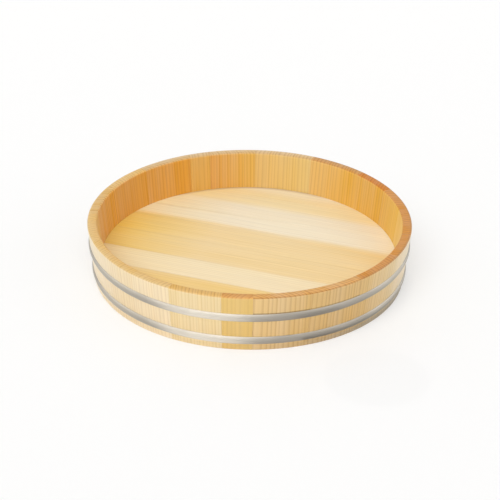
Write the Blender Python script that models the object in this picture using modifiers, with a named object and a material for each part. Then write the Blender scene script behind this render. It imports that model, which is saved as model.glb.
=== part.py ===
"""Shallow serving tub of coopered softwood, at its real size.

Tapered staves are pegged edge to edge into a ring, a floor of pegged boards is
housed in a groove round the inside of that ring, and two half-round steel hoops
draw it tight. Units are metres and +Z is up. The origin is the centre of the foot
ring, on the surface that the tub stands on, and -Y is the front.
"""

import math
from itertools import accumulate

import bmesh
import bpy
from mathutils import Matrix, Vector

# Shell
RIM_RADIUS = 0.1800
FOOT_RADIUS = 0.1726
HEIGHT = 0.0660
WALL = 0.0108
RIM_ROUND = 0.0022
FOOT_CHAMFER = 0.0010

# Staves, anticlockwise from above: the angle of the first joint from the front, and
# the angle that each stave takes up. The closing stave is cut to the angle left over.
FIRST_JOINT_DEG = -27.6
STAVE_DEG = (18.6, 10.5, 19.5, 20.0, 21.0, 17.0, 20.0, 16.5, 17.0,
             22.5, 23.0, 18.5, 8.5, 21.0, 20.0, 22.0, 21.0, 23.0)

# Floor
FLOOR_RISE = 0.0115
FLOOR_THICKNESS = 0.0115
FLOOR_EDGE_CHAMFER = 0.0010
GROOVE_DEPTH = 0.0030

# Floor boards, back to front: the share of the floor's width that each takes up, the
# turn of the boards from the left-right line, the slant of each joint to that turn, as
# some boards taper, and the places of the pegs as shares of half the joint's length.
BOARD_SHARES = (32.0, 53.0, 31.0, 45.0, 44.5, 39.5, 44.0, 46.0)
BOARD_TURN_DEG = -19.5
JOINT_SLANT_DEG = (2.0, 2.6, 1.8, 0.0, 0.0, 0.0, 0.0)
FLOOR_PEG_PLACES = ((0.0,), (-0.40, 0.40), (-0.60, 0.60), (-0.40, 0.40),
                    (-0.60, 0.60), (-0.40, 0.40), (0.0,))

# Bamboo pegs
PEG_DIAMETER = 0.0040
PEG_LENGTH = 0.0160
PEG_CHAMFER = 0.0006

# Hoops, with the heights of their middles above the foot
HOOP_HEIGHT = 0.0092
HOOP_THICKNESS = 0.0016
HOOP_EDGE = 0.0005
UPPER_HOOP_RISE = 0.0410
LOWER_HOOP_RISE = 0.0123

# Gaps that keep touching pieces apart
JOINT_GAP = 0.0003
FIT_GAP = 0.0003

# Fineness of the round forms
FACET_DEG = 4.0
RIM_SEGMENTS = 3
PEG_SIDES = 8
HOOP_SEGMENTS = 8
SMOOTH_DEG = 32.0

# Finishes: screen colour, roughness, metallic
STAVE_FINISHES = (((239, 209, 159), 0.58, 0.0), ((226, 174, 90), 0.58, 0.0),
                  ((228, 190, 121), 0.60, 0.0), ((240, 218, 181), 0.56, 0.0))
CREAM_BOARD = ((243, 226, 196), 0.60, 0.0)
TAN_BOARD = ((240, 210, 157), 0.60, 0.0)
BOARD_FINISHES = (CREAM_BOARD, TAN_BOARD, CREAM_BOARD, TAN_BOARD,
                  TAN_BOARD, CREAM_BOARD, TAN_BOARD, TAN_BOARD)
BAMBOO = ((222, 196, 132), 0.50, 0.0)
STAINLESS_STEEL = ((196, 194, 188), 0.28, 1.0)

FLOOR_TOP = FLOOR_RISE + FLOOR_THICKNESS
FACET_ANGLE = math.radians(FACET_DEG)
FULL_TURN_STEPS = math.ceil(2 * math.pi / FACET_ANGLE)
FLAT_TO_CORNER = math.cos(FACET_ANGLE / 2)


def outer_radius(z):
    return FOOT_RADIUS + (RIM_RADIUS - FOOT_RADIUS) * z / HEIGHT


def inner_radius(z):
    return outer_radius(z) - WALL


def groove_radius(z):
    return inner_radius(z) + GROOVE_DEPTH


def floor_edge_radius(z):
    """Keeps the floor's corners a fitting gap inside the flats of the groove."""
    return groove_radius(z) * FLAT_TO_CORNER - FIT_GAP


def hoop_seat_radius(z):
    """Keeps the flats of a hoop a fitting gap outside the corners of the staves."""
    return (outer_radius(z) + FIT_GAP) / FLAT_TO_CORNER


def linear(channel):
    share = channel / 255
    return share / 12.92 if share <= 0.04045 else ((share + 0.055) / 1.055) ** 2.4


def finish_material(name, finish):
    colour, roughness, metallic = finish
    material = bpy.data.materials.new(name)
    material.use_nodes = True
    shader = material.node_tree.nodes["Principled BSDF"]
    shader.inputs["Base Color"].default_value = (*map(linear, colour), 1.0)
    shader.inputs["Roughness"].default_value = roughness
    shader.inputs["Metallic"].default_value = metallic
    return material


def finished_mesh(bm, name, material=None):
    """Turn a bmesh into a mesh that is shaded smooth on its round faces."""
    bmesh.ops.recalc_face_normals(bm, faces=bm.faces)
    mesh = bpy.data.meshes.new(name)
    bm.to_mesh(mesh)
    bm.free()
    mesh.shade_smooth()
    mesh.set_sharp_from_angle(angle=math.radians(SMOOTH_DEG))
    if material:
        mesh.materials.append(material)
    return mesh


def add_piece(name, mesh):
    piece = bpy.data.objects.new(name, mesh)
    piece.parent = tub_frame
    tub.objects.link(piece)
    return piece


def add_cutter(name, mesh):
    cutter = bpy.data.objects.new(name, mesh)
    cutter.parent = tub_frame
    cutter.hide_render = True
    cutter.display_type = "WIRE"
    cutters.objects.link(cutter)
    return cutter


def bore(piece, cutter):
    hole = piece.modifiers.new(cutter.name, "BOOLEAN")
    hole.operation = "DIFFERENCE"
    hole.solver = "EXACT"
    hole.object = cutter


def rod_mesh(name, diameter, length, chamfer=0.0, material=None):
    """A round rod along Z, centred on the origin, with chamfered ends."""
    bm = bmesh.new()
    bmesh.ops.create_cone(bm, cap_ends=True, segments=PEG_SIDES, radius1=diameter / 2,
                          radius2=diameter / 2, depth=length)
    if chamfer:
        ends = [edge for edge in bm.edges if abs(edge.verts[0].co.z - edge.verts[1].co.z) < length / 2]
        bmesh.ops.bevel(bm, geom=ends, offset=min(chamfer, diameter / 4, length / 4),
                        affect="EDGES", segments=1, profile=0.5)
    return finished_mesh(bm, name, material)


def add_peg(name, place, along):
    """Lay a peg across a joint, and return the cutter for its hole in both pieces."""
    peg = add_piece(name, peg_shape)
    cutter = add_cutter(name + "_hole", peg_hole_shape)
    for item in (peg, cutter):
        item.location = place
        item.rotation_euler = along.to_track_quat("Z", "Y").to_euler()
    return cutter


def stave_mesh(name, angle, material):
    """Spin the wall's section, with its rounded rim and its groove, through one stave."""
    groove_low = FLOOR_RISE - FIT_GAP
    groove_high = FLOOR_TOP + FIT_GAP
    bm = bmesh.new()
    foot_out, rim_out, rim_in, *groove, foot_in = [
        bm.verts.new((radius, 0, z)) for radius, z in (
            (outer_radius(0), 0),
            (outer_radius(HEIGHT), HEIGHT),
            (inner_radius(HEIGHT), HEIGHT),
            (inner_radius(groove_high), groove_high),
            (groove_radius(groove_high), groove_high),
            (groove_radius(groove_low), groove_low),
            (inner_radius(groove_low), groove_low),
            (inner_radius(0), 0),
        )
    ]
    bm.faces.new((foot_out, rim_out, rim_in, *groove, foot_in))
    bmesh.ops.bevel(bm, geom=[rim_out, rim_in], offset=min(RIM_ROUND, 0.45 * WALL),
                    affect="VERTICES", segments=RIM_SEGMENTS, profile=0.5)
    bmesh.ops.bevel(bm, geom=[foot_out, foot_in], offset=min(FOOT_CHAMFER, 0.45 * WALL),
                    affect="VERTICES", segments=1, profile=0.5)

    joint_gap_angle = JOINT_GAP / min(inner_radius(0), inner_radius(HEIGHT))
    swept = angle - joint_gap_angle
    bmesh.ops.rotate(bm, verts=bm.verts, matrix=Matrix.Rotation(-swept / 2, 3, "Z"))
    bmesh.ops.spin(bm, geom=bm.verts[:] + bm.edges[:] + bm.faces[:], axis=(0, 0, 1),
                   angle=swept, steps=math.ceil(swept / FACET_ANGLE))
    return finished_mesh(bm, name, material)


def board_mesh(name, sawn_sides, material):
    """Saw one board out of the floor's disc, along the joints on its front and back."""
    bm = bmesh.new()
    bmesh.ops.create_cone(bm, cap_ends=True, segments=FULL_TURN_STEPS,
                          radius1=floor_edge_radius(FLOOR_RISE),
                          radius2=floor_edge_radius(FLOOR_TOP), depth=FLOOR_THICKNESS)
    round_edges = [edge for edge in bm.edges if edge.calc_face_angle() > math.radians(45)]
    bmesh.ops.bevel(bm, geom=round_edges, offset=min(FLOOR_EDGE_CHAMFER, 0.45 * FLOOR_THICKNESS),
                    affect="EDGES", segments=1, profile=0.5)
    for line, outward in sawn_sides:
        sawn = bmesh.ops.bisect_plane(bm, geom=bm.verts[:] + bm.edges[:] + bm.faces[:],
                                      plane_co=Vector((0, line, 0)) - outward * JOINT_GAP / 2,
                                      plane_no=outward, clear_outer=True)
        kerf = [item for item in sawn["geom_cut"] if isinstance(item, bmesh.types.BMEdge)]
        bmesh.ops.edgeloop_fill(bm, edges=kerf)
    return finished_mesh(bm, name, material)


def hoop_mesh(name, middle, material):
    """The half-round section of a hoop, from its top edge down its outer side."""
    bm = bmesh.new()
    section = []
    for step in range(HOOP_SEGMENTS + 1):
        turn = math.pi * step / HOOP_SEGMENTS
        z = middle + HOOP_HEIGHT / 2 * math.cos(turn)
        crown = HOOP_EDGE + (HOOP_THICKNESS - HOOP_EDGE) * math.sin(turn)
        section.append(bm.verts.new((hoop_seat_radius(z) + crown, 0, z)))
    for z in (middle - HOOP_HEIGHT / 2, middle + HOOP_HEIGHT / 2):
        section.append(bm.verts.new((hoop_seat_radius(z), 0, z)))
    for start, end in zip(section, section[1:] + section[:1]):
        bm.edges.new((start, end))
    return finished_mesh(bm, name, material)


def add_hoop(name, middle):
    """Turn a hoop's section round the tub."""
    hoop = add_piece(name, hoop_mesh(name, middle, steel))
    turned = hoop.modifiers.new("turned", "SCREW")
    turned.axis = "Z"
    turned.angle = 2 * math.pi
    turned.steps = FULL_TURN_STEPS
    turned.render_steps = FULL_TURN_STEPS
    turned.use_merge_vertices = True
    turned.merge_threshold = 0.00001


# Scene with nothing in it but the tub
for leftover in list(bpy.data.objects):
    bpy.data.objects.remove(leftover, do_unlink=True)
tub = bpy.data.collections.new("shallow_serving_tub")
cutters = bpy.data.collections.new("cutters")
for collection in (tub, cutters):
    bpy.context.scene.collection.children.link(collection)
tub_frame = bpy.data.objects.new("tub_frame", None)
tub.objects.link(tub_frame)

# Pegs and the holes that take them
bamboo = finish_material("bamboo", BAMBOO)
peg_shape = rod_mesh("peg", PEG_DIAMETER, PEG_LENGTH, PEG_CHAMFER, bamboo)
peg_hole_shape = rod_mesh("peg_hole", PEG_DIAMETER + 2 * FIT_GAP, PEG_LENGTH + 2 * FIT_GAP)

# Staves, each between a joint and the next, with a peg across every joint
stave_degrees = (*STAVE_DEG, 360 - sum(STAVE_DEG))
joint_degrees = list(accumulate(stave_degrees, initial=FIRST_JOINT_DEG - 90))
stave_peg_rise = (FLOOR_TOP + HEIGHT) / 2
stave_peg_radius = outer_radius(stave_peg_rise) - WALL / 2
stave_holes = []
for number, degrees in enumerate(joint_degrees[:-1], 1):
    turn = Matrix.Rotation(math.radians(degrees), 3, "Z")
    place = turn @ Vector((stave_peg_radius, 0, stave_peg_rise))
    stave_holes.append(add_peg(f"stave_peg_{number:02d}", place, turn @ Vector((0, 1, 0))))

for index, degrees in enumerate(stave_degrees):
    name = f"stave_{index + 1:02d}"
    wood = finish_material(name, STAVE_FINISHES[index % len(STAVE_FINISHES)])
    stave = add_piece(name, stave_mesh(name, math.radians(degrees), wood))
    stave.rotation_euler.z = math.radians(joint_degrees[index] + degrees / 2)
    bore(stave, stave_holes[index])
    bore(stave, stave_holes[(index + 1) % len(stave_holes)])

# Floor boards, back to front, with pegs across every joint
floor_radius = max(floor_edge_radius(FLOOR_RISE), floor_edge_radius(FLOOR_TOP))
board_turn = Matrix.Rotation(math.radians(BOARD_TURN_DEG), 3, "Z")
floor_middle = FLOOR_RISE + FLOOR_THICKNESS / 2
joint_lines = [floor_radius * (1 - 2 * share / sum(BOARD_SHARES))
               for share in accumulate(BOARD_SHARES[:-1])]
sawn_sides = [[] for _ in BOARD_SHARES]
floor_holes = [[] for _ in BOARD_SHARES]
peg_number = 0
for joint, (line, slant, places) in enumerate(zip(joint_lines, JOINT_SLANT_DEG, FLOOR_PEG_PLACES)):
    joint_turn = Matrix.Rotation(math.radians(slant), 3, "Z")
    across = joint_turn @ Vector((0, 1, 0))
    along = joint_turn @ Vector((math.sqrt(floor_radius ** 2 - line ** 2), 0, 0))
    sawn_sides[joint].append((line, -across))
    sawn_sides[joint + 1].append((line, across))
    for share in places:
        peg_number += 1
        place = board_turn @ (Vector((0, line, floor_middle)) + share * along)
        hole = add_peg(f"floor_peg_{peg_number:02d}", place, board_turn @ across)
        floor_holes[joint].append(hole)
        floor_holes[joint + 1].append(hole)

for index, finish in enumerate(BOARD_FINISHES):
    name = f"floor_board_{index + 1}"
    wood = finish_material(name, finish)
    board = add_piece(name, board_mesh(name, sawn_sides[index], wood))
    board.location.z = floor_middle
    board.rotation_euler = board_turn.to_euler()
    for hole in floor_holes[index]:
        bore(board, hole)

# Hoops
steel = finish_material("stainless_steel", STAINLESS_STEEL)
add_hoop("upper_hoop", UPPER_HOOP_RISE)
add_hoop("lower_hoop", LOWER_HOOP_RISE)
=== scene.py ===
"""Looks of the shallow serving tub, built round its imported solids, in metres."""

import math

import bmesh
import bpy
from mathutils import Matrix, Vector


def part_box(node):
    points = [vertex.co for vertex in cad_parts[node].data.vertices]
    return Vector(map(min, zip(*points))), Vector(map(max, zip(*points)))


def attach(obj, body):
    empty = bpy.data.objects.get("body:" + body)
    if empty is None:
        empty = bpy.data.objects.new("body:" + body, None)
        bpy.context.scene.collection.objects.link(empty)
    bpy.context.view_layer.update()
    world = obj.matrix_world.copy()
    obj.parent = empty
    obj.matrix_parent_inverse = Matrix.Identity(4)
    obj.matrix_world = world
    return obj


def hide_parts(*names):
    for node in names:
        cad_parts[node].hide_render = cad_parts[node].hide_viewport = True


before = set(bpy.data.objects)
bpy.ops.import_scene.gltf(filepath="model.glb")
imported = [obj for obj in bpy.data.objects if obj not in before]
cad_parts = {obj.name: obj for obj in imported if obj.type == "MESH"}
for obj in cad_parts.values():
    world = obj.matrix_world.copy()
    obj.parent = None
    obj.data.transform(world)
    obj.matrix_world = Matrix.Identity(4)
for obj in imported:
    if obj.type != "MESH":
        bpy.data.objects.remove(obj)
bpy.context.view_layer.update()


# Pegs: slips of split bamboo, rounded and driven into blind holes across every joint
# between two staves and between two floor boards. They are sealed inside the wood, so
# the CAD pegs stay as they are and get the finish of bamboo.

def wire(tree, kind, inputs=None, **options):
    """Add a node, set its options, and set or link its inputs."""
    node = tree.nodes.new(kind)
    for option, value in options.items():
        setattr(node, option, value)
    for socket, value in (inputs or {}).items():
        if isinstance(value, bpy.types.NodeSocket):
            tree.links.new(value, node.inputs[socket])
        else:
            node.inputs[socket].default_value = value
    return node


def screen_colour(red, green, blue):
    """A colour as seen on screen, from 0 to 255, as the linear colour of a socket."""
    shares = (channel / 255 for channel in (red, green, blue))
    return (*((s / 12.92 if s <= 0.04045 else ((s + 0.055) / 1.055) ** 2.4) for s in shares), 1.0)


def blank_material(name):
    """A new material, its node tree and its Principled shader."""
    material = bpy.data.materials.new(name)
    material.use_nodes = True
    return material, material.node_tree, material.node_tree.nodes["Principled BSDF"]


bamboo, tree, shader = blank_material("split_bamboo")
place = wire(tree, "ShaderNodeTexCoord")
strands = wire(tree, "ShaderNodeTexNoise", {"Vector": place.outputs["Object"], "Scale": 1500.0,
                                            "Detail": 3.0})
culm = wire(tree, "ShaderNodeMix", {"Factor": strands.outputs["Fac"],
                                    "A": screen_colour(228, 204, 142),
                                    "B": screen_colour(198, 164, 96)}, data_type="RGBA")
tree.links.new(culm.outputs["Result"], shader.inputs["Base Color"])
polish = wire(tree, "ShaderNodeMapRange", {"Value": strands.outputs["Fac"], "To Min": 0.38,
                                           "To Max": 0.58})
tree.links.new(polish.outputs["Result"], shader.inputs["Roughness"])
for name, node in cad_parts.items():
    if "_peg_" in name:
        node.material_slots[0].material = bamboo


# Staves: tapered strips of quarter-sawn softwood, hollowed inside and rounded outside,
# with bevelled edges that meet in a ring. A groove near the foot houses the floor, and
# the rim is planed flat across the end grain, with both its arrises rounded.
rim_radius = 0.1800
foot_radius = 0.1726
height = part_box("stave_01")[1].z
wall = 0.0108
rim_round = 0.0022
foot_chamfer = 0.0010
groove_low = 0.0112
groove_high = 0.0231
groove_depth = 0.0030
stave_joint = 0.00010
eased_arris = 0.00012
peg_hole_radius = 0.0023
peg_hole_depth = 0.0083
wall_slope = (rim_radius - foot_radius) / height
sharp_from = math.radians(32)
# Distance of the log's pith from the stave that was split from it
pith_distance = 0.19
# Heights between which painted shade darkens the outer face towards the foot, and greys the foot
face_shade_from, face_shade_to = 0.050, 0.012
grey_shade_from, grey_shade_to = 0.010, 0.004
# Middle of the painted shade line above the upper hoop, and half its height
shade_line_rise = 0.0004
shade_line_half_height = 0.0009

cream = screen_colour(239, 223, 192)
oat = screen_colour(234, 214, 177)
straw = screen_colour(228, 205, 157)
wheat = screen_colour(222, 191, 137)
honey = screen_colour(214, 180, 122)
gold = screen_colour(219, 184, 108)
corn = screen_colour(224, 196, 127)
maize = screen_colour(224, 183, 102)
saffron = screen_colour(239, 196, 90)
amber = screen_colour(226, 177, 84)
ochre = screen_colour(219, 170, 86)
russet = screen_colour(219, 159, 71)
tawny = screen_colour(230, 170, 77)
# End grain: its shade on the rim beside the inner and the outer face and on the outer
# arris, how strongly the rings show as stripes, and the depth from which the arris shade reaches over
# the rim
pale_end = (screen_colour(224, 181, 106), screen_colour(223, 189, 126),
            screen_colour(219, 189, 130), 0.28, 0.90)
dry_end = (screen_colour(209, 171, 112), screen_colour(223, 198, 157),
           screen_colour(189, 160, 119), 0.40, 0.80)
tan_end = (screen_colour(215, 171, 94), screen_colour(221, 179, 105),
           screen_colour(222, 184, 118), 0.45, 0.90)
warm_end = (screen_colour(213, 164, 97), screen_colour(223, 170, 101),
            screen_colour(176, 127, 64), 0.50, 0.85)
grey_end = (screen_colour(203, 146, 69), screen_colour(197, 153, 98),
            screen_colour(175, 132, 84), 0.50, 0.60)
brown_end = (screen_colour(200, 142, 64), screen_colour(217, 159, 84),
             screen_colour(220, 166, 88), 0.50, 0.90)
dark_end = (screen_colour(207, 143, 62), screen_colour(203, 141, 68),
            screen_colour(172, 123, 68), 0.50, 0.70)
deep_end = (screen_colour(204, 126, 30), screen_colour(195, 124, 42),
            screen_colour(168, 116, 62), 0.45, 0.70)

# Of each stave: the tones of its outer face at its first and last edge, those of its inner
# face, the turn of its growth rings from the wall's radius, their spacing in millimetres,
# how dark they are drawn on the face, and its end grain
# The tones partly hold painted light: russet inside the staves at the left and honey outside those at
# the right front are painted shade, and cream outside the staves at the far left is partly painted sheen
stave_wood = (
    (straw, straw, amber, amber, 12, 3.4, 0.32, tan_end),
    (gold, gold, amber, amber, -34, 4.2, 0.19, brown_end),
    (wheat, honey, amber, amber, 40, 3.7, 0.54, warm_end),
    (honey, honey, amber, amber, 24, 4.2, 0.58, warm_end),
    (honey, straw, amber, saffron, -14, 3.9, 0.44, dark_end),
    (oat, cream, saffron, saffron, 26, 3.3, 0.40, dark_end),
    (oat, straw, saffron, saffron, 14, 3.6, 0.40, dark_end),
    (straw, honey, saffron, amber, -22, 3.8, 0.40, dark_end),
    (honey, wheat, amber, amber, 30, 3.4, 0.48, deep_end),
    (straw, straw, amber, maize, 12, 4.0, 0.48, grey_end),
    (straw, oat, corn, maize, -8, 4.1, 0.46, dry_end),
    (wheat, wheat, maize, russet, 16, 3.2, 0.52, dry_end),
    (oat, oat, ochre, ochre, -12, 4.0, 0.34, dry_end),
    (wheat, straw, russet, russet, 22, 3.7, 0.45, dry_end),
    (straw, straw, russet, russet, -20, 3.7, 0.38, pale_end),
    (wheat, oat, tawny, tawny, 14, 3.5, 1.00, pale_end),
    (cream, cream, amber, amber, -30, 3.6, 0.30, pale_end),
    (cream, oat, amber, amber, 20, 3.8, 0.35, pale_end),
    (oat, oat, amber, amber, -10, 4.0, 0.32, pale_end),
)
# Painted shade along the top of the upper hoop, on two staves at the front
hoop_shade_line = {"planed_stave_03": 0.8, "planed_stave_04": 0.5}
# How grey painted shade makes the foot at each joint, from the first stave's on
foot_grey_shade = (0, 0.05, 0.15, 0.35, 0.8, 1.0, 0.95, 0.7, 0.5, 0.3, 0.1, 0, 0, 0, 0, 0, 0, 0, 0)
grey_shade = screen_colour(166, 155, 135)
# Tints that darken the tone below them: late wood, stripes on end grain, painted shade towards the foot,
# the painted shade line above the hoop
late_wood_tint = (0.60, 0.42, 0.26, 1.0)
end_stripe_tint = (0.62, 0.46, 0.36, 1.0)
face_shade_tint = (0.98, 0.95, 0.91, 1.0)
shade_line_tint = (0.45, 0.42, 0.38, 1.0)

straight_grain = bpy.data.node_groups.new("straight_grain", "ShaderNodeTree")
for socket, kind, way in (("Vector", "NodeSocketVector", "INPUT"),
                          ("Spacing", "NodeSocketFloat", "INPUT"),
                          ("Rings", "NodeSocketFloat", "OUTPUT"),
                          ("Season", "NodeSocketFloat", "OUTPUT"),
                          ("Fibre", "NodeSocketFloat", "OUTPUT"),
                          ("Drift", "NodeSocketFloat", "OUTPUT")):
    straight_grain.interface.new_socket(socket, in_out=way, socket_type=kind)
# The log's pith is the Z axis of the vector, and the rings lie round it
tree = straight_grain
log = wire(tree, "NodeGroupInput")
slow = wire(tree, "ShaderNodeVectorMath", {0: log.outputs["Vector"], 1: (16.0, 16.0, 5.0)},
            operation="MULTIPLY")
sway = wire(tree, "ShaderNodeTexNoise", {"Vector": slow.outputs[0], "Scale": 1.0, "Detail": 2.0})
centred = wire(tree, "ShaderNodeVectorMath", {0: sway.outputs["Color"], 1: (0.5, 0.5, 0.5)},
               operation="SUBTRACT")
swayed = wire(tree, "ShaderNodeVectorMath", {0: centred.outputs[0], 1: (0.0014, 0.0014, 0.0),
                                             2: log.outputs["Vector"]}, operation="MULTIPLY_ADD")
across = wire(tree, "ShaderNodeVectorMath", {0: swayed.outputs[0], 1: (1.0, 1.0, 0.0)},
              operation="MULTIPLY")
radius = wire(tree, "ShaderNodeVectorMath", {0: across.outputs[0]}, operation="LENGTH")
years = wire(tree, "ShaderNodeMath", {0: radius.outputs["Value"], 1: log.outputs["Spacing"]},
             operation="DIVIDE")
seasons = wire(tree, "ShaderNodeTexNoise", {"W": years.outputs[0], "Scale": 0.30, "Detail": 1.0},
               noise_dimensions="1D")
uneven = wire(tree, "ShaderNodeMath", {0: seasons.outputs["Fac"], 1: 1.1, 2: years.outputs[0]},
              operation="MULTIPLY_ADD")
year = wire(tree, "ShaderNodeMath", {0: uneven.outputs[0]}, operation="FRACT")
late = wire(tree, "ShaderNodeValToRGB", {"Fac": year.outputs[0]})
for stop, shade in ((0.50, 0.08), (0.86, 1.0)):
    late.color_ramp.elements.new(stop).color = (shade, shade, shade, 1.0)
late.color_ramp.elements[0].color = (0.0, 0.0, 0.0, 1.0)
late.color_ramp.elements[-1].color = (0.0, 0.0, 0.0, 1.0)
number = wire(tree, "ShaderNodeMath", {0: uneven.outputs[0]}, operation="FLOOR")
dark_year = wire(tree, "ShaderNodeTexWhiteNoise", {"W": number.outputs[0]}, noise_dimensions="1D")
depth = wire(tree, "ShaderNodeMapRange", {"Value": dark_year.outputs["Value"], "To Min": 0.55,
                                          "To Max": 1.0})
rings = wire(tree, "ShaderNodeMath", {0: late.outputs["Color"], 1: depth.outputs["Result"]},
             operation="MULTIPLY")
fine = wire(tree, "ShaderNodeVectorMath", {0: swayed.outputs[0], 1: (420.0, 420.0, 13.0)},
            operation="MULTIPLY")
fibre = wire(tree, "ShaderNodeTexNoise", {"Vector": fine.outputs[0], "Scale": 1.0, "Detail": 4.0,
                                          "Roughness": 0.6})
broad = wire(tree, "ShaderNodeVectorMath", {0: log.outputs["Vector"], 1: (38.0, 38.0, 7.0)},
             operation="MULTIPLY")
drift = wire(tree, "ShaderNodeTexNoise", {"Vector": broad.outputs[0], "Scale": 1.0, "Detail": 2.0})
wire(tree, "NodeGroupOutput", {"Rings": rings.outputs[0], "Season": dark_year.outputs["Value"],
                               "Fibre": fibre.outputs["Fac"], "Drift": drift.outputs["Fac"]})


wall_depth = bpy.data.node_groups.new("wall_depth", "ShaderNodeTree")
wall_depth.interface.new_socket("Vector", in_out="INPUT", socket_type="NodeSocketVector")
wall_depth.interface.new_socket("Outside", in_out="OUTPUT", socket_type="NodeSocketFloat")
# 0 on the inner face of the wall and 1 on its outer face, at any height
tree = wall_depth
place = wire(tree, "NodeGroupInput")
level = wire(tree, "ShaderNodeVectorMath", {0: place.outputs["Vector"], 1: (1.0, 1.0, 0.0)},
             operation="MULTIPLY")
reach = wire(tree, "ShaderNodeVectorMath", {0: level.outputs[0]}, operation="LENGTH")
rise = wire(tree, "ShaderNodeSeparateXYZ", {"Vector": place.outputs["Vector"]})
plumb = wire(tree, "ShaderNodeMath", {0: rise.outputs["Z"], 1: -wall_slope, 2: reach.outputs["Value"]},
             operation="MULTIPLY_ADD")
outside = wire(tree, "ShaderNodeMapRange", {"Value": plumb.outputs[0], "From Min": foot_radius - wall,
                                            "From Max": foot_radius})
wire(tree, "NodeGroupOutput", {"Outside": outside.outputs["Result"]})


def grained_wood(tree, shader, vector, tone, spacing, line, end_grain=None, stripes=0):
    """Colour, gloss and relief of straight-grained wood, with stripes on its end grain."""
    grain = wire(tree, "ShaderNodeGroup", {"Vector": vector, "Spacing": spacing},
                 node_tree=straight_grain)
    drawn = wire(tree, "ShaderNodeMath", {0: grain.outputs["Rings"], 1: line}, operation="MULTIPLY")
    late_wood = wire(tree, "ShaderNodeMix", {"Factor": drawn.outputs[0], "A": tone,
                                             "B": late_wood_tint},
                     data_type="RGBA", blend_type="MULTIPLY")
    streak = wire(tree, "ShaderNodeMapRange", {"Value": grain.outputs["Fibre"], "To Min": 0.90,
                                               "To Max": 1.10})
    warmth = wire(tree, "ShaderNodeMapRange", {"Value": grain.outputs["Drift"], "To Min": 0.88,
                                               "To Max": 1.12})
    year = wire(tree, "ShaderNodeMath", {0: grain.outputs["Season"], 1: 0.5}, operation="SUBTRACT")
    depth = wire(tree, "ShaderNodeMath", {0: year.outputs[0], 1: 0.12 * line,
                                          2: warmth.outputs["Result"]}, operation="MULTIPLY_ADD")
    colour = wire(tree, "ShaderNodeHueSaturation", {"Color": late_wood.outputs["Result"],
                                                    "Saturation": depth.outputs[0],
                                                    "Value": streak.outputs["Result"]}).outputs["Color"]
    if end_grain:
        drawn_end = wire(tree, "ShaderNodeMath", {0: grain.outputs["Rings"], 1: stripes},
                         operation="MULTIPLY")
        stripe = wire(tree, "ShaderNodeMath", {0: drawn_end.outputs[0], 1: end_grain},
                      operation="MULTIPLY")
        colour = wire(tree, "ShaderNodeMix", {"Factor": stripe.outputs[0], "A": colour,
                                              "B": end_stripe_tint},
                      data_type="RGBA", blend_type="MULTIPLY").outputs["Result"]
    tree.links.new(colour, shader.inputs["Base Color"])
    gloss = wire(tree, "ShaderNodeMapRange", {"Value": grain.outputs["Fibre"], "To Min": 0.46,
                                              "To Max": 0.64})
    tree.links.new(gloss.outputs["Result"], shader.inputs["Roughness"])
    relief = wire(tree, "ShaderNodeMath", {0: grain.outputs["Rings"], 1: 0.6,
                                           2: grain.outputs["Fibre"]}, operation="MULTIPLY_ADD")
    bump = wire(tree, "ShaderNodeBump", {"Height": relief.outputs[0], "Strength": 0.25,
                                         "Distance": 0.0002})
    tree.links.new(bump.outputs["Normal"], shader.inputs["Normal"])
    shader.inputs["Specular IOR Level"].default_value = 0.3
    shader.inputs["Sheen Weight"].default_value = 0.2
    shader.inputs["Sheen Roughness"].default_value = 0.3


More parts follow.
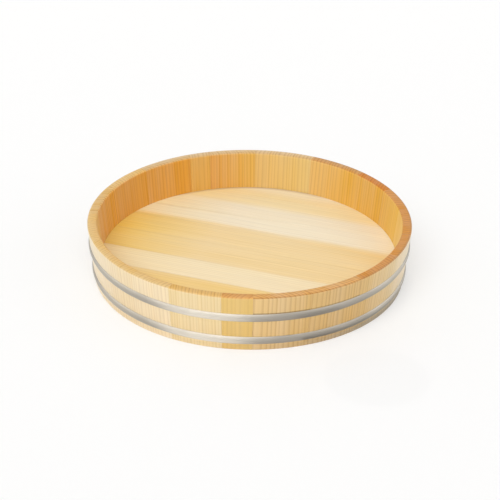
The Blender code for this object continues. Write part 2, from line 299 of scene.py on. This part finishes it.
def stave_material(name, start, stop, grey_shade_first, grey_shade_last, outer_first, outer_last, inner_first,
                   inner_last, ring_turn, ring_spacing, line, end):
    """Wood of one stave, with its fibres along the slope of the wall."""
    middle = (start + stop) / 2
    half_width = rim_radius * (stop - start) / 2
    material, tree, shader = blank_material(name)
    along = Matrix.Rotation(middle, 3, "Z") @ Matrix.Rotation(math.atan(wall_slope), 3, "Y")
    turned = along @ Matrix.Rotation(math.radians(ring_turn), 3, "Z")
    at_foot = Matrix.Rotation(middle, 3, "Z") @ Vector((foot_radius, 0, 0))
    pith = at_foot - turned @ Vector((0, pith_distance, 0))
    place = wire(tree, "ShaderNodeTexCoord")
    log = wire(tree, "ShaderNodeMapping", {"Vector": place.outputs["Object"], "Location": pith,
                                           "Rotation": turned.to_euler()}, vector_type="TEXTURE")
    depth = wire(tree, "ShaderNodeGroup", {"Vector": place.outputs["Object"]}, node_tree=wall_depth)
    across = wire(tree, "ShaderNodeVectorMath", {0: place.outputs["Object"], 1: along.col[1]},
                  operation="DOT_PRODUCT")
    last_edge = wire(tree, "ShaderNodeMapRange", {"Value": across.outputs["Value"],
                                                  "From Min": -half_width, "From Max": half_width})
    inner_tone = wire(tree, "ShaderNodeMix", {"Factor": last_edge.outputs["Result"],
                                              "A": inner_first, "B": inner_last}, data_type="RGBA")
    outer_tone = wire(tree, "ShaderNodeMix", {"Factor": last_edge.outputs["Result"],
                                              "A": outer_first, "B": outer_last}, data_type="RGBA")
    tone = wire(tree, "ShaderNodeMix", {"Factor": depth.outputs["Outside"],
                                        "A": inner_tone.outputs["Result"],
                                        "B": outer_tone.outputs["Result"]}, data_type="RGBA")
    # Painted shade darkens the outer face a little towards the foot
    sides = wire(tree, "ShaderNodeSeparateXYZ", {"Vector": place.outputs["Object"]})
    near_foot = wire(tree, "ShaderNodeMapRange", {"Value": sides.outputs["Z"],
                                                  "From Min": face_shade_from, "From Max": face_shade_to})
    low_outside = wire(tree, "ShaderNodeMath", {0: near_foot.outputs["Result"],
                                                1: depth.outputs["Outside"]}, operation="MULTIPLY")
    face_shaded = wire(tree, "ShaderNodeMix", {"Factor": low_outside.outputs[0], "A": tone.outputs["Result"],
                                         "B": face_shade_tint},
                 data_type="RGBA", blend_type="MULTIPLY")
    # Painted shade greys the foot at the joints on the right
    by_table = wire(tree, "ShaderNodeMapRange", {"Value": sides.outputs["Z"],
                                                 "From Min": grey_shade_from, "From Max": grey_shade_to})
    grey_shade_share = wire(tree, "ShaderNodeMapRange", {"Value": last_edge.outputs["Result"], "To Min": grey_shade_first,
                                            "To Max": grey_shade_last})
    on_foot = wire(tree, "ShaderNodeMath", {0: by_table.outputs["Result"], 1: grey_shade_share.outputs["Result"]},
                   operation="MULTIPLY")
    grey_shaded = wire(tree, "ShaderNodeMix", {"Factor": on_foot.outputs[0], "A": face_shaded.outputs["Result"],
                                          "B": grey_shade}, data_type="RGBA")
    # A painted shade line along the top of the upper hoop, on the outer face of two staves
    hoop_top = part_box("upper_hoop")[1].z
    above_hoop = wire(tree, "ShaderNodeMath", {0: sides.outputs["Z"], 1: hoop_top + shade_line_rise,
                                               2: shade_line_half_height}, operation="COMPARE")
    shade_line_outside = wire(tree, "ShaderNodeMapRange", {"Value": depth.outputs["Outside"], "From Min": 0.5,
                                                   "From Max": 0.9, "To Max": hoop_shade_line.get(name, 0.0)})
    shade_line_mask = wire(tree, "ShaderNodeMath", {0: above_hoop.outputs[0], 1: shade_line_outside.outputs["Result"]},
                operation="MULTIPLY")
    shade_lined = wire(tree, "ShaderNodeMix", {"Factor": shade_line_mask.outputs[0], "A": grey_shaded.outputs["Result"],
                                         "B": shade_line_tint},
                 data_type="RGBA", blend_type="MULTIPLY")
    upward = wire(tree, "ShaderNodeVectorMath", {0: place.outputs["Normal"], 1: along.col[2]},
                  operation="DOT_PRODUCT")
    outward = wire(tree, "ShaderNodeVectorMath", {0: place.outputs["Normal"], 1: along.col[0]},
                   operation="DOT_PRODUCT")
    either_end = wire(tree, "ShaderNodeMath", {0: upward.outputs["Value"]}, operation="ABSOLUTE")
    end_grain = wire(tree, "ShaderNodeMapRange", {"Value": either_end.outputs[0], "From Min": 0.30,
                                                  "From Max": 0.80}, interpolation_type="SMOOTHSTEP")
    # The fibre ends on the rim's outer arris take a shade of their own
    corner = wire(tree, "ShaderNodeMath", {0: upward.outputs["Value"], 1: outward.outputs["Value"]},
                  operation="MULTIPLY")
    arris = wire(tree, "ShaderNodeMapRange", {"Value": corner.outputs[0], "From Max": 0.5,
                                              "To Max": 0.8})
    inner_end, outer_end, arris_tone, stripes, arris_band_from = end
    end_tone = wire(tree, "ShaderNodeMix", {"Factor": depth.outputs["Outside"], "A": inner_end,
                                            "B": outer_end}, data_type="RGBA")
    outer_band = wire(tree, "ShaderNodeMapRange", {"Value": depth.outputs["Outside"], "From Min": arris_band_from,
                                             "From Max": 1.0, "To Max": 0.8})
    arris_share = wire(tree, "ShaderNodeMath", {0: arris.outputs["Result"], 1: outer_band.outputs["Result"]},
                  operation="MAXIMUM")
    arris_toned = wire(tree, "ShaderNodeMix", {"Factor": arris_share.outputs[0], "A": end_tone.outputs["Result"],
                                           "B": arris_tone}, data_type="RGBA")
    cut = wire(tree, "ShaderNodeMix", {"Factor": end_grain.outputs["Result"],
                                       "A": shade_lined.outputs["Result"],
                                       "B": arris_toned.outputs["Result"]}, data_type="RGBA")
    grained_wood(tree, shader, log.outputs["Vector"], cut.outputs["Result"], ring_spacing / 1000,
                 line, end_grain.outputs["Result"], stripes)
    return material


def bore_peg_holes(bm, face, pegs, inward):
    """Drill blind holes for pegs square into a joint face, which is filled round them."""
    outline = face.edges[:]
    corner = face.verts[0].co.copy()
    bmesh.ops.delete(bm, geom=[face], context="FACES_ONLY")
    upright = inward.to_track_quat("Z", "Y").to_matrix().to_4x4()
    for peg in pegs:
        low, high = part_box(peg)
        centre = (low + high) / 2
        centre -= inward * (centre - corner).dot(inward)
        mouth = bmesh.ops.create_circle(bm, segments=24, radius=peg_hole_radius,
                                        matrix=Matrix.Translation(centre) @ upright)["verts"]
        lip = list({edge for vert in mouth for edge in vert.link_edges})
        bored = bmesh.ops.extrude_edge_only(bm, edges=lip)["geom"]
        bottom = [item for item in bored if isinstance(item, bmesh.types.BMVert)]
        bmesh.ops.translate(bm, verts=bottom, vec=inward * peg_hole_depth)
        bmesh.ops.contextual_create(bm, geom=bottom)
        outline += lip
    bmesh.ops.triangle_fill(bm, use_beauty=True, use_dissolve=False, edges=outline)


def add_piece(bm, name, material, node):
    """Make a finished bmesh the shown piece that stands for a CAD node."""
    bmesh.ops.remove_doubles(bm, verts=bm.verts, dist=1e-6)
    bmesh.ops.recalc_face_normals(bm, faces=bm.faces)
    mesh = bpy.data.meshes.new(name)
    bm.to_mesh(mesh)
    bm.free()
    mesh.shade_smooth()
    mesh.set_sharp_from_angle(angle=sharp_from)
    mesh.materials.append(material)
    piece = bpy.data.objects.new(name, mesh)
    bpy.context.scene.collection.objects.link(piece)
    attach(piece, "root")
    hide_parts(node)


def planed_stave(start, end, start_peg, end_peg):
    """The wall's section, spun from one joint of the ring to the next, eased and bored."""
    bm = bmesh.new()
    section = [bm.verts.new((foot_radius + wall_slope * z - inset, 0, z)) for inset, z in (
        (0, 0), (0, height), (wall, height), (wall, groove_high), (wall - groove_depth, groove_high),
        (wall - groove_depth, groove_low), (wall, groove_low), (wall, 0))]
    bm.faces.new(section)
    bmesh.ops.bevel(bm, geom=section[1:3], offset=rim_round, affect="VERTICES", segments=8,
                    profile=0.5, material=-1)
    bmesh.ops.bevel(bm, geom=[section[0], section[-1]], offset=foot_chamfer, affect="VERTICES",
                    segments=2, profile=0.5, material=-1)
    gap = stave_joint / rim_radius
    bmesh.ops.rotate(bm, verts=bm.verts, matrix=Matrix.Rotation(start + gap / 2, 3, "Z"))
    bmesh.ops.spin(bm, geom=bm.verts[:] + bm.edges[:] + bm.faces[:], axis=(0, 0, 1),
                   angle=end - start - gap, steps=math.ceil(math.degrees(end - start)))
    joint_edges = {edge for face in bm.faces if len(face.verts) > 4 for edge in face.edges}
    bmesh.ops.bevel(bm, geom=list(joint_edges), offset=eased_arris, affect="EDGES", segments=2,
                    profile=0.5, material=-1)
    onward = Matrix.Rotation((start + end) / 2, 3, "Z") @ Vector((0, 1, 0))
    joint_faces = sorted((face for face in bm.faces if len(face.verts) > 8),
                         key=lambda face: face.calc_center_median().dot(onward))
    for face, peg, angle, way in zip(joint_faces, (start_peg, end_peg), (start, end), (1, -1)):
        bore_peg_holes(bm, face, [peg], Matrix.Rotation(angle, 3, "Z") @ Vector((0, way, 0)))
    return bm


joint_pegs = [f"stave_peg_{number + 1:02d}" for number in range(len(stave_wood))]
joint_angles = []
for peg in joint_pegs:
    low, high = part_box(peg)
    joint_angles.append(math.atan2(low.y + high.y, low.x + high.x))
for index, start in enumerate(joint_angles):
    after = (index + 1) % len(stave_wood)
    end = start + (joint_angles[after] - start) % (2 * math.pi)
    name = f"planed_stave_{index + 1:02d}"
    wood = stave_material(name, start, end, foot_grey_shade[index], foot_grey_shade[after], *stave_wood[index])
    add_piece(planed_stave(start, end, joint_pegs[index], joint_pegs[after]), name, wood,
              f"stave_{index + 1:02d}")


# Floor: boards of the same softwood, cream where they are sapwood and tan where they
# are heartwood, pegged edge to edge, some of them tapered, and planed flush. The round
# floor they make is sprung into the groove of the staves.
floor_low = 0.0115
floor_high = 0.0230
floor_edge_low = 0.16617
floor_edge_high = 0.16746
floor_chamfer = 0.0010
board_joint = 0.00010
board_ring_spacing = 0.0036
board_line = 0.20
tone_wander = 0.008
damp_width = 0.0028
# Shortest edge of a sawn joint that runs along the board, not up it
least_long_edge = 0.05
# Tints that darken the tone below them: painted shade at the left end, damp joints, painted shade by the
# back wall
left_shade_tint = (0.96, 0.88, 0.36, 1.0)
damp_joint_tint = (0.76, 0.68, 0.52, 1.0)
back_wall_shade_tint = (0.70, 0.63, 0.52, 1.0)
board_turn = Matrix.Rotation(math.radians(-19.5), 4, "Z")
# Each joint's distance behind the floor's middle, its slant, its pegs, and how dark damp
# has made it at its left end
floor_joints = (
    (0.1355, 2.0, ("floor_peg_01",), 0.3),
    (0.0825, 2.6, ("floor_peg_02", "floor_peg_03"), 0.45),
    (0.0515, 1.8, ("floor_peg_04", "floor_peg_05"), 0.1),
    (0.0065, 0.0, ("floor_peg_06", "floor_peg_07"), 0.2),
    (-0.0380, 0.0, ("floor_peg_08", "floor_peg_09"), 0.2),
    (-0.0775, 0.0, ("floor_peg_10", "floor_peg_11"), 0.1),
    (-0.1215, 0.0, ("floor_peg_12",), 0.1),
)
white_sapwood = screen_colour(242, 232, 208)
sapwood = screen_colour(241, 224, 187)
fair_heartwood = screen_colour(242, 225, 180)
heartwood = screen_colour(237, 211, 158)
deep_heartwood = screen_colour(235, 203, 133)
# Each board's tones at two distances behind the floor's middle, which blend between
# them, how much painted shade and warm bounce darken and yellow its left end, and its material slot
floor_boards = (
    (((0.138, fair_heartwood), (0.160, white_sapwood)), 0.5, "floor_cream"),
    (((0.104, white_sapwood), (0.120, fair_heartwood)), 0.5, "floor_tan"),
    (((0.046, heartwood), (0.058, white_sapwood)), 0.4, "floor_cream"),
    (((0.044, heartwood), (0.060, white_sapwood)), 1.0, "floor_tan"),
    (((-0.045, sapwood), (-0.034, heartwood)), 1.0, "floor_tan"),
    (((-0.042, sapwood), (-0.033, heartwood)), 0.3, "floor_cream"),
    (((-0.090, deep_heartwood), (-0.070, heartwood)), 0.0, "floor_tan"),
    (((-0.150, heartwood), (-0.122, deep_heartwood)), 0.0, "floor_tan"),
)


def board_material(name, tones, left_shade_share, sides, log_shift):
    """Wood of one board, with its fibres along the board and its tones across it."""
    (low, low_tone), (high, high_tone) = tones
    material, tree, shader = blank_material(name)
    place = wire(tree, "ShaderNodeTexCoord")
    lying = wire(tree, "ShaderNodeMapping", {"Vector": place.outputs["Object"],
                                             "Rotation": board_turn.to_euler()}, vector_type="TEXTURE")
    upright = Matrix.Rotation(math.radians(90), 3, "Y")
    log = wire(tree, "ShaderNodeMapping", {"Vector": lying.outputs["Vector"], "Location": log_shift,
                                           "Rotation": upright.to_euler()}, vector_type="TEXTURE")
    axes = wire(tree, "ShaderNodeSeparateXYZ", {"Vector": lying.outputs["Vector"]})
    long = wire(tree, "ShaderNodeVectorMath", {0: lying.outputs["Vector"], 1: (9.0, 60.0, 0.0)},
                operation="MULTIPLY")
    wander = wire(tree, "ShaderNodeTexNoise", {"Vector": long.outputs[0], "Scale": 1.0, "Detail": 2.0})
    strayed = wire(tree, "ShaderNodeMath", {0: wander.outputs["Fac"], 1: tone_wander,
                                            2: axes.outputs["Y"]}, operation="MULTIPLY_ADD")
    centred = wire(tree, "ShaderNodeMath", {0: strayed.outputs[0], 1: tone_wander / 2},
                   operation="SUBTRACT")
    reach = wire(tree, "ShaderNodeMapRange", {"Value": centred.outputs[0], "From Min": low,
                                              "From Max": high}, interpolation_type="SMOOTHSTEP")
    tone = wire(tree, "ShaderNodeMix", {"Factor": reach.outputs["Result"], "A": low_tone,
                                        "B": high_tone}, data_type="RGBA")
    # Painted shade and warm bounce from the wall darken and yellow the left end
    left_shade = wire(tree, "ShaderNodeMapRange", {"Value": axes.outputs["X"], "From Min": -0.050,
                                                 "From Max": -0.165, "To Max": left_shade_share})
    left_shaded = wire(tree, "ShaderNodeMix", {"Factor": left_shade.outputs["Result"],
                                           "A": tone.outputs["Result"], "B": left_shade_tint},
                   data_type="RGBA", blend_type="MULTIPLY")
    colour = left_shaded.outputs["Result"]
    left_end = wire(tree, "ShaderNodeMapRange", {"Value": axes.outputs["X"], "From Min": 0.020,
                                                 "From Max": -0.080})
    for distance, outward, _, darkness in sides:
        beyond = wire(tree, "ShaderNodeVectorMath", {0: lying.outputs["Vector"], 1: outward},
                      operation="DOT_PRODUCT")
        by_joint = wire(tree, "ShaderNodeMapRange", {"Value": beyond.outputs["Value"],
                                                     "From Min": outward.y * distance - damp_width,
                                                     "From Max": outward.y * distance,
                                                     "To Max": darkness})
        damp = wire(tree, "ShaderNodeMath", {0: by_joint.outputs["Result"],
                                             1: left_end.outputs["Result"]}, operation="MULTIPLY")
        colour = wire(tree, "ShaderNodeMix", {"Factor": damp.outputs[0], "A": colour,
                                              "B": damp_joint_tint},
                      data_type="RGBA", blend_type="MULTIPLY").outputs["Result"]
    # Painted shade darkens the floor a little in the corner along the back wall
    spot = wire(tree, "ShaderNodeSeparateXYZ", {"Vector": place.outputs["Object"]})
    at_back = wire(tree, "ShaderNodeMapRange", {"Value": spot.outputs["Y"], "From Min": 0.135,
                                                "From Max": 0.150})
    level = wire(tree, "ShaderNodeVectorMath", {0: place.outputs["Object"], 1: (1.0, 1.0, 0.0)},
                 operation="MULTIPLY")
    from_axis = wire(tree, "ShaderNodeVectorMath", {0: level.outputs[0]}, operation="LENGTH")
    by_wall = wire(tree, "ShaderNodeMapRange", {"Value": from_axis.outputs["Value"],
                                                "From Min": 0.1595, "From Max": 0.1640})
    back_wall_shade = wire(tree, "ShaderNodeMath", {0: at_back.outputs["Result"],
                                              1: by_wall.outputs["Result"]}, operation="MULTIPLY")
    darkened = wire(tree, "ShaderNodeMix", {"Factor": back_wall_shade.outputs[0], "A": colour,
                                            "B": back_wall_shade_tint},
                    data_type="RGBA", blend_type="MULTIPLY")
    grained_wood(tree, shader, log.outputs["Vector"], darkened.outputs["Result"],
                 board_ring_spacing, board_line)
    return material


def sawn_board(sides):
    """A board sawn out of the floor's disc along its joints, with eased top edges, bored."""
    bm = bmesh.new()
    bmesh.ops.create_cone(bm, cap_ends=True, segments=360, radius1=floor_edge_low,
                          radius2=floor_edge_high, depth=floor_high - floor_low)
    round_edges = [edge for edge in bm.edges if edge.calc_face_angle() > math.radians(45)]
    bmesh.ops.bevel(bm, geom=round_edges, offset=floor_chamfer, affect="EDGES", segments=2,
                    profile=0.5, material=-1)
    lift = Matrix.Translation((0, 0, (floor_low + floor_high) / 2))
    bmesh.ops.transform(bm, verts=bm.verts, matrix=lift)
    joints = []
    for distance, outward, pegs, _ in sides:
        on_joint = Vector((0, distance, 0)) - outward * board_joint / 2
        sawn = bmesh.ops.bisect_plane(bm, geom=bm.verts[:] + bm.edges[:] + bm.faces[:],
                                      plane_co=on_joint, plane_no=outward, clear_outer=True)
        kerf = [item for item in sawn["geom_cut"] if isinstance(item, bmesh.types.BMEdge)]
        joints.append((bmesh.ops.edgeloop_fill(bm, edges=kerf)["faces"][0], outward, pegs))
    long_edges = list({edge for face, _, _ in joints for edge in face.edges
                       if edge.calc_length() > least_long_edge})
    bmesh.ops.bevel(bm, geom=long_edges, offset=eased_arris, affect="EDGES", segments=2,
                    profile=0.5, material=-1)
    bmesh.ops.transform(bm, verts=bm.verts, matrix=board_turn)
    for _, outward, pegs in joints:
        facing = board_turn.to_3x3() @ outward
        bm.normal_update()
        upright_faces = [face for face in bm.faces if abs(face.normal.dot(facing)) > 0.999]
        face = max(upright_faces, key=lambda face: face.calc_center_median().dot(facing))
        bore_peg_holes(bm, face, pegs, -facing)
    return bm


for index, (tones, left_shade_share, slot) in enumerate(floor_boards):
    sides = []
    for joint, way in ((index - 1, 1), (index, -1)):
        if 0 <= joint < len(floor_joints):
            distance, slant, pegs, darkness = floor_joints[joint]
            outward = Matrix.Rotation(math.radians(slant), 3, "Z") @ Vector((0, way, 0))
            sides.append((distance, outward, pegs, darkness))
    name = f"planed_board_{index + 1}"
    wood = board_material(name, tones, left_shade_share, sides, (0, -0.4 + 0.02 * index, -0.05))
    add_piece(sawn_board(sides), name, wood, f"floor_board_{index + 1}")


# Hoops: two rings of half-round stainless strip, welded end to end and driven up the
# taper of the tub from the foot until they grip. They have a satin polish along the strip.
hoop_height = 0.0092
hoop_crown = 0.00142
hoop_edge = 0.00018
hoop_seat = 0.00005
# Radius of the arc of the strip's face
hoop_arc = (hoop_height ** 2 / 4 + hoop_crown ** 2) / (2 * hoop_crown)

steel, tree, shader = blank_material("satin_stainless")
place = wire(tree, "ShaderNodeTexCoord")
drawn = wire(tree, "ShaderNodeMapping", {"Vector": place.outputs["Object"],
                                         "Scale": (60.0, 60.0, 9000.0)})
lines = wire(tree, "ShaderNodeTexNoise", {"Vector": drawn.outputs["Vector"], "Scale": 1.0,
                                          "Detail": 2.0})
sheen = wire(tree, "ShaderNodeMix", {"Factor": lines.outputs["Fac"],
                                     "A": (0.31, 0.288, 0.253, 1.0), "B": (0.38, 0.353, 0.310, 1.0)},
             data_type="RGBA")
tree.links.new(sheen.outputs["Result"], shader.inputs["Base Color"])
satin = wire(tree, "ShaderNodeMapRange", {"Value": lines.outputs["Fac"], "To Min": 0.36,
                                          "To Max": 0.44})
tree.links.new(satin.outputs["Result"], shader.inputs["Roughness"])
shader.inputs["Metallic"].default_value = 1.0
shader.inputs["Anisotropic"].default_value = 0.95
shader.inputs["Anisotropic Rotation"].default_value = 0.25


def turned_hoop(middle):
    """The half-round section, leaned to the wall and spun round the tub."""
    bm = bmesh.new()
    bmesh.ops.create_circle(bm, segments=180, radius=hoop_arc)
    bmesh.ops.rotate(bm, verts=bm.verts, matrix=Matrix.Rotation(math.radians(90), 3, "X"))
    bmesh.ops.bisect_plane(bm, geom=bm.verts[:] + bm.edges[:], plane_co=(hoop_arc - hoop_crown, 0, 0),
                           plane_no=(1, 0, 0), clear_inner=True)
    bmesh.ops.translate(bm, verts=bm.verts, vec=(hoop_crown - hoop_arc + hoop_edge, 0, 0))
    ends = [vert for vert in bm.verts if len(vert.link_edges) == 1]
    seat = bmesh.ops.extrude_vert_indiv(bm, verts=ends)["verts"]
    bmesh.ops.translate(bm, verts=seat, vec=(-hoop_edge, 0, 0))
    bm.edges.new(seat)
    lean = Matrix(((1, 0, wall_slope, 0), (0, 1, 0, 0), (0, 0, 1, 0), (0, 0, 0, 1)))
    bmesh.ops.transform(bm, verts=bm.verts, matrix=lean)
    reach = foot_radius + wall_slope * middle + hoop_seat
    bmesh.ops.translate(bm, verts=bm.verts, vec=(reach, 0, middle))
    bmesh.ops.spin(bm, geom=bm.verts[:] + bm.edges[:], axis=(0, 0, 1), angle=2 * math.pi,
                   steps=360, use_merge=True)
    return bm


for name in ("upper_hoop", "lower_hoop"):
    low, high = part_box(name)
    add_piece(turned_hoop((low.z + high.z) / 2), f"half_round_{name}", steel, name)


# Setting: a wide white table in a white studio, with a large softbox in front, a weaker one
# at the right, strips and glows that show only in the gloss of the hoops and the wood, and grey
# cards of painted shade that show only there too. The camera is at the height of someone standing at the
# table.
scene = bpy.context.scene
glow_share = 0.4
studio_level = 0.53
studio_lean = (-0.08, 0.0, 0.06)
card_lift = 0.0006
round_card_radius = 0.054
round_card_place = (0.132, -0.222, card_lift)
foot_card_reach = (0.174, 0.186)
foot_card_start = math.radians(20)
foot_card_sweep = math.radians(65)
camera_distance = 2.0
camera_tilt = math.radians(0.81)
bm = bmesh.new()
bmesh.ops.create_circle(bm, cap_ends=True, segments=96, radius=12.0)
table_mesh = bpy.data.meshes.new("white_table")
bm.to_mesh(table_mesh)
bm.free()
table = bpy.data.objects.new("white_table", table_mesh)
scene.collection.objects.link(table)

white_laminate, tree, shader = blank_material("white_laminate")
shader.inputs["Base Color"].default_value = (0.93, 0.94, 0.955, 1.0)
shader.inputs["Roughness"].default_value = 0.8
rays = wire(tree, "ShaderNodeLightPath")
seen = wire(tree, "ShaderNodeMath", {0: rays.outputs["Is Camera Ray"], 1: rays.outputs["Is Glossy Ray"]},
            operation="MAXIMUM")
seen = wire(tree, "ShaderNodeMath", {0: seen.outputs[0], 1: rays.outputs["Is Transmission Ray"]},
            operation="MAXIMUM")
share = wire(tree, "ShaderNodeMath", {0: seen.outputs[0], 1: glow_share}, operation="MULTIPLY")
paper_white = wire(tree, "ShaderNodeEmission", {"Strength": 1.0})
table_top = wire(tree, "ShaderNodeMixShader", {0: share.outputs[0], 1: shader.outputs["BSDF"],
                                               2: paper_white.outputs["Emission"]})
tree.links.new(table_top.outputs["Shader"], tree.nodes["Material Output"].inputs["Surface"])
table_mesh.materials.append(white_laminate)

# A round grey card on the table at the right of the front, and a narrow curved one along the
# foot at the right. They are painted shade: they show only in the gloss of the hoops and the
# wood, as a dark reflection standing in for the tub's shade on the table
bm = bmesh.new()
bmesh.ops.create_circle(bm, cap_ends=True, segments=64, radius=round_card_radius)
bmesh.ops.translate(bm, verts=bm.verts, vec=round_card_place)
card_start = Matrix.Rotation(foot_card_start, 3, "Z")
near_corner, far_corner = (bm.verts.new(card_start @ Vector((0, -reach, card_lift)))
                           for reach in foot_card_reach)
first_edge = bm.edges.new((near_corner, far_corner))
bmesh.ops.spin(bm, geom=[near_corner, far_corner, first_edge], axis=(0, 0, 1),
               angle=foot_card_sweep, steps=40)
card_mesh = bpy.data.meshes.new("painted_shade_card")
bm.to_mesh(card_mesh)
bm.free()
painted_shade_card = bpy.data.objects.new("painted_shade_card", card_mesh)
scene.collection.objects.link(painted_shade_card)
painted_shade_grey, tree, shader = blank_material("painted_shade_card_grey")
shader.inputs["Base Color"].default_value = (0.25, 0.25, 0.255, 1.0)
shader.inputs["Roughness"].default_value = 0.9
card_mesh.materials.append(painted_shade_grey)
painted_shade_card.visible_camera = False
painted_shade_card.visible_diffuse = False
painted_shade_card.visible_transmission = False
painted_shade_card.visible_shadow = False

world = bpy.data.worlds.new("white_studio")
scene.world = world
world.use_nodes = True
tree = world.node_tree
ambient = tree.nodes["Background"]
ambient.inputs["Color"].default_value = (1.0, 0.99, 0.97, 1.0)
place = wire(tree, "ShaderNodeTexCoord")
lean = wire(tree, "ShaderNodeVectorMath", {0: place.outputs["Generated"], 1: studio_lean},
            operation="DOT_PRODUCT")
level = wire(tree, "ShaderNodeMath", {0: lean.outputs["Value"], 1: studio_level}, operation="ADD")
tree.links.new(level.outputs[0], ambient.inputs["Strength"])


def add_sun(name, towards, strength, softness):
    """A distant soft lamp in a direction seen from the tub."""
    lamp = bpy.data.lights.new(name, "SUN")
    lamp.energy = strength
    lamp.angle = math.radians(softness)
    lamp.color = (1.0, 0.98, 0.95)
    sun = bpy.data.objects.new(name, lamp)
    sun.rotation_euler = Vector(towards).to_track_quat("Z", "Y").to_euler()
    scene.collection.objects.link(sun)
    return sun


add_sun("front_softbox", (-0.16, -0.62, 0.77), 1.55, 50)
add_sun("right_softbox", (0.85, -0.20, 0.48), 0.25, 50)
for name, towards, strength, softness in (("front_left_strip", (-0.78, -0.62, 0.02), 1.5, 42),
                                          ("front_strip", (-0.36, -0.93, 0.02), 1.0, 36),
                                          ("left_strip", (-0.95, 0.20, 0.22), 0.8, 50),
                                          ("right_strip", (0.88, 0.42, 0.22), 1.3, 50),
                                          ("front_right_strip", (0.80, -0.50, 0.27), 0.6, 60),
                                          ("overhead_glow", (-0.25, -0.1, 0.96), 3.4, 165)):
    strip = add_sun(name, towards, strength, softness)
    strip.visible_diffuse = False
# The lit table in front of the tub shines on the lower half of the hoops, and so isn't
# shaded by the table itself
table_shine = add_sun("table_shine", (-0.35, -0.33, -0.88), 1.0, 45)
table_shine.visible_diffuse = False
no_shade = bpy.data.collections.new("no_shade_of_table_shine")
no_shade.objects.link(table)
no_shade.collection_objects[0].light_linking.link_state = "EXCLUDE"
table_shine.light_linking.blocker_collection = no_shade

camera_data = bpy.data.cameras.new("table_view")
camera_data.sensor_width = 36.0
camera_data.lens = 128.7
camera_data.shift_x = 0.00138
camera_data.shift_y = -0.00854
camera_data.clip_end = 50.0
camera = bpy.data.objects.new("table_view", camera_data)
aim = Vector((0, 0, 0.031))
elevation = math.radians(28.08)
back = Vector((0, -math.cos(elevation), math.sin(elevation)))
camera.location = aim + camera_distance * back
upright = Matrix.Rotation(math.pi / 2 - elevation, 3, "X")
camera.rotation_euler = (upright @ Matrix.Rotation(camera_tilt, 3, "Z")).to_euler()
scene.collection.objects.link(camera)
scene.camera = camera
scene.view_settings.view_transform = "Standard"
